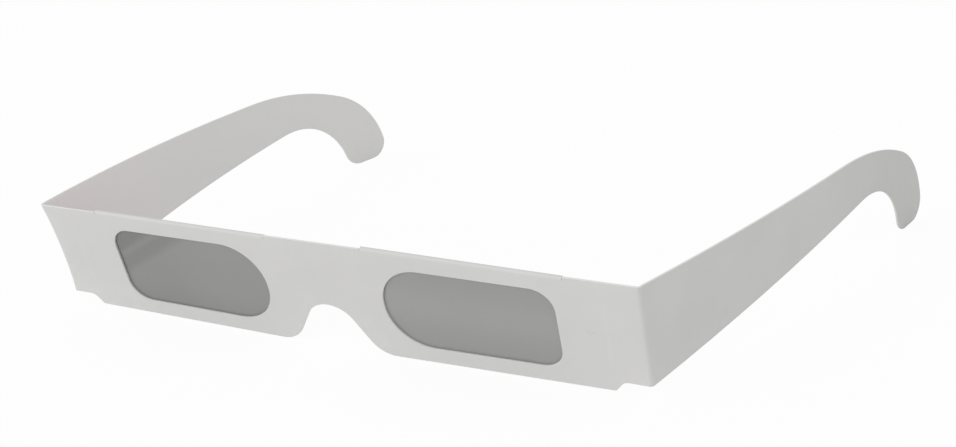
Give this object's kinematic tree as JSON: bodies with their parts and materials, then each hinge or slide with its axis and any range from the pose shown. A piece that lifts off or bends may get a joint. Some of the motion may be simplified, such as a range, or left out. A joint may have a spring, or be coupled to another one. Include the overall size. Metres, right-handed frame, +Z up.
{
  "type": "folding stereoscopic glasses",
  "caption": "Folding glasses of die-cut white card with neutral grey film lenses behind rounded windows and temples that turn on creases.",
  "frame": {"origin": "on the table, under the middle of the nose cut-out, on the line of the front's lower edge", "axes": "+X to the right as seen from the front, +Y back towards the ears, +Z up, with the front leaning forward as it stands opened on a table"},
  "size_m": [0.172, 0.1337, 0.0293],
  "materials": {
    "card_front": "matte",
    "card_temple": "matte",
    "card_back": "matte",
    "card_fold": "matte",
    "film": "clear smoke grey, polished",
    "glue": "dried white glue"
  },
  "bodies": {
    "front": {"front_panel": "card_front", "left_flap": "card_back", "right_flap": "card_back", "left_flap_fold": "card_fold", "right_flap_fold": "card_fold", "left_lens": "film", "right_lens": "film", "left_glue": "glue", "right_glue": "glue", "left_crease": "card_fold", "right_crease": "card_fold"},
    "left_temple": {"left_temple": "card_temple"},
    "right_temple": {"right_temple": "card_temple"}
  },
  "joints": [
    {"name": "left_temple_fold", "type": "hinge", "parent": "front", "child": "left_temple", "pos_m": [-0.07155, -0.00412, 0.01484], "axis": [0, 0.2957, -0.9553], "range_deg": [-85, 84]},
    {"name": "right_temple_fold", "type": "hinge", "parent": "front", "child": "right_temple", "pos_m": [0.07155, -0.00412, 0.01484], "axis": [0, -0.2957, 0.9553], "range_deg": [-73, 96]}
  ]
}
